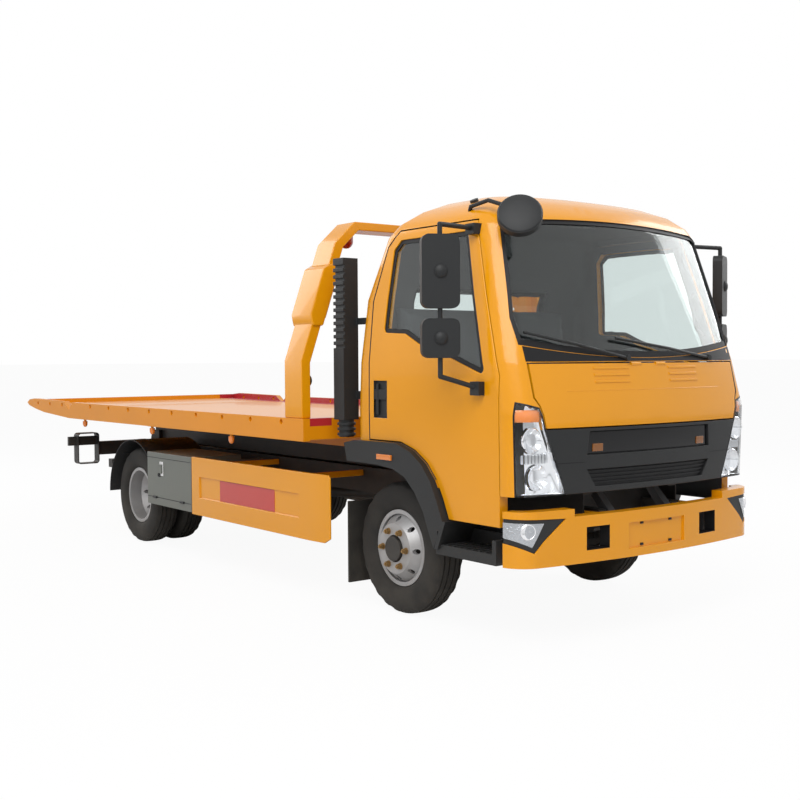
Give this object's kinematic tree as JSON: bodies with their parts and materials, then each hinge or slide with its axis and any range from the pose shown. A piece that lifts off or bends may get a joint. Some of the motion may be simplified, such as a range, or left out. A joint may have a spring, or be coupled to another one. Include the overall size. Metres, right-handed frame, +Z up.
{
  "type": "light cab-over flatbed tow truck",
  "caption": "Light cab-over tow truck with a tilting, sliding flat bed, gantry arch, side toolboxes, opening doors, tipping cab, steered front wheels and twin rear wheels.",
  "frame": {"origin": "on the ground under the middle of the overall box", "axes": "+X to the front of the truck, +Y to its left, +Z up"},
  "size_m": [6.725, 2.5048, 2.412],
  "materials": {
    "yellow_paint": "gloss orange-yellow enamel",
    "black_steel": "satin black chassis paint",
    "cast_engine": "bare cast iron",
    "exhaust_steel": "dull steel",
    "black_plastic": "moulded textured plastic",
    "flap_rubber": "flat sheet rubber",
    "tyre_rubber": "moulded tyre rubber",
    "wheel_steel": "silver wheel paint",
    "clear_glass": "clear tinted glass",
    "lamp_lens": "clear lamp lens",
    "red_lens": "red lamp lens",
    "seat_fabric": "woven dark grey cloth",
    "grey_paint": "grey-green enamel",
    "winch_steel": "dark grey paint",
    "rod_chrome": "polished chrome"
  },
  "bodies": {
    "chassis": {"chassis_frame": "black_steel", "engine_block": "cast_engine", "drive_shaft": "black_steel", "exhaust": "exhaust_steel", "front_axle": "black_steel", "rear_axle": "black_steel", "leaf_springs": "black_steel", "fuel_tank": "black_steel", "front_bumper": "yellow_paint", "fog_lamps": "lamp_lens", "front_mud_flaps": "flap_rubber", "rear_mudguards": "black_plastic", "toolboxes": "grey_paint", "side_guards": "yellow_paint", "tail_beam": "black_steel"},
    "cab": {"cab_shell": "yellow_paint", "cab_glass": "clear_glass", "dashboard": "black_plastic", "seats": "seat_fabric", "steering_wheel": "black_plastic", "grille": "black_plastic", "headlamps": "lamp_lens", "cab_flares": "black_plastic", "wipers": "black_plastic", "roof_mirror": "black_plastic", "snorkel": "black_plastic"},
    "front_lid": {"front_lid": "yellow_paint"},
    "tilt_frame": {"tilt_frame": "black_steel"},
    "bed": {"bed_platform": "yellow_paint", "bed_tail": "yellow_paint", "gantry": "yellow_paint", "bed_lamps": "red_lens", "winch": "winch_steel"},
    "winch_drum": {"winch_drum": "winch_steel"},
    "cylinder_barrels": {"cylinder_barrels": "black_steel"},
    "cylinder_rods": {"cylinder_rods": "rod_chrome"},
    "lift_boom": {"lift_boom": "black_steel"},
    "door_right": {"door_right": "yellow_paint", "door_glass_right": "clear_glass", "mirrors_right": "black_plastic"},
    "knuckle_right": {"knuckle_right": "black_steel"},
    "wheel_front_right": {"tyre_front_right": "tyre_rubber", "rim_front_right": "wheel_steel"},
    "wheels_rear_right": {"tyres_rear_right": "tyre_rubber", "rims_rear_right": "wheel_steel"},
    "toolbox_lid_right": {"toolbox_lid_right": "grey_paint"},
    "door_left": {"door_left": "yellow_paint", "door_glass_left": "clear_glass", "mirrors_left": "black_plastic"},
    "knuckle_left": {"knuckle_left": "black_steel"},
    "wheel_front_left": {"tyre_front_left": "tyre_rubber", "rim_front_left": "wheel_steel"},
    "wheels_rear_left": {"tyres_rear_left": "tyre_rubber", "rims_rear_left": "wheel_steel"},
    "toolbox_lid_left": {"toolbox_lid_left": "grey_paint"}
  },
  "joints": [
    {"name": "cab_tilt", "type": "hinge", "parent": "chassis", "child": "cab", "pos_m": [3.2125, 0, 0.64], "axis": [0, 1, 0], "range_deg": [0, 45]},
    {"name": "front_lid_lift", "type": "hinge", "parent": "cab", "child": "front_lid", "pos_m": [3.2865, 0, 1.458], "axis": [0, -1, 0], "range_deg": [0, 75]},
    {"name": "bed_tilt", "type": "hinge", "parent": "chassis", "child": "tilt_frame", "pos_m": [-2.1375, 0, 0.695], "axis": [0, -1, 0], "range_deg": [0, 15]},
    {"name": "bed_slide", "type": "slide", "parent": "tilt_frame", "child": "bed", "axis": [-1, 0, 0], "range_m": [0, 2.6]},
    {"name": "winch_turn", "type": "hinge", "parent": "bed", "child": "winch_drum", "pos_m": [1.1525, 0, 1.195], "axis": [0, 1, 0], "continuous": true},
    {"name": "barrel_swing", "type": "hinge", "parent": "chassis", "child": "cylinder_barrels", "pos_m": [-0.4375, 0, 0.64], "axis": [0, -1, 0], "range_deg": [-0.5, 38.81]},
    {"name": "rod_extend", "type": "slide", "parent": "cylinder_barrels", "child": "cylinder_rods", "axis": [0.9578, 0, 0.2873], "range_m": [-0.005, 0.28229]},
    {"name": "lift_lower", "type": "hinge", "parent": "chassis", "child": "lift_boom", "pos_m": [-2.3975, 0, 0.51], "axis": [0, -1, 0], "range_deg": [0, 35]},
    {"name": "door_right_open", "type": "hinge", "parent": "cab", "child": "door_right", "pos_m": [3.1185, -0.951, 1.4], "axis": [0, 0, 1], "range_deg": [0, 65]},
    {"name": "steer_right", "type": "hinge", "parent": "chassis", "child": "knuckle_right", "pos_m": [2.1625, -0.68, 0.3875], "axis": [0, 0, 1], "range_deg": [-35, 35]},
    {"name": "spin_front_right", "type": "hinge", "parent": "knuckle_right", "child": "wheel_front_right", "pos_m": [2.1625, -0.78, 0.3875], "axis": [0, 1, 0], "continuous": true},
    {"name": "spin_rear_right", "type": "hinge", "parent": "chassis", "child": "wheels_rear_right", "pos_m": [-1.2955, -0.72, 0.3875], "axis": [0, 1, 0], "continuous": true},
    {"name": "toolbox_right_open", "type": "hinge", "parent": "chassis", "child": "toolbox_lid_right", "pos_m": [-0.485, -1.05, 0.375], "axis": [1, 0, 0], "range_deg": [0, 90]},
    {"name": "door_left_open", "type": "hinge", "parent": "cab", "child": "door_left", "pos_m": [3.1185, 0.951, 1.4], "axis": [0, 0, -1], "range_deg": [0, 65]},
    {"name": "steer_left", "type": "hinge", "parent": "chassis", "child": "knuckle_left", "pos_m": [2.1625, 0.68, 0.3875], "axis": [0, 0, 1], "range_deg": [-35, 35]},
    {"name": "spin_front_left", "type": "hinge", "parent": "knuckle_left", "child": "wheel_front_left", "pos_m": [2.1625, 0.78, 0.3875], "axis": [0, 1, 0], "continuous": true},
    {"name": "spin_rear_left", "type": "hinge", "parent": "chassis", "child": "wheels_rear_left", "pos_m": [-1.2955, 0.72, 0.3875], "axis": [0, 1, 0], "continuous": true},
    {"name": "toolbox_left_open", "type": "hinge", "parent": "chassis", "child": "toolbox_lid_left", "pos_m": [-0.485, 1.05, 0.375], "axis": [-1, 0, 0], "range_deg": [0, 90]}
  ],
  "couplings": [
    {"joint": "barrel_swing", "follows": "bed_tilt", "ratio": 2.554},
    {"joint": "rod_extend", "follows": "bed_tilt", "m_per_rad": 1.0592},
    {"joint": "steer_left", "follows": "steer_right", "ratio": 1}
  ]
}
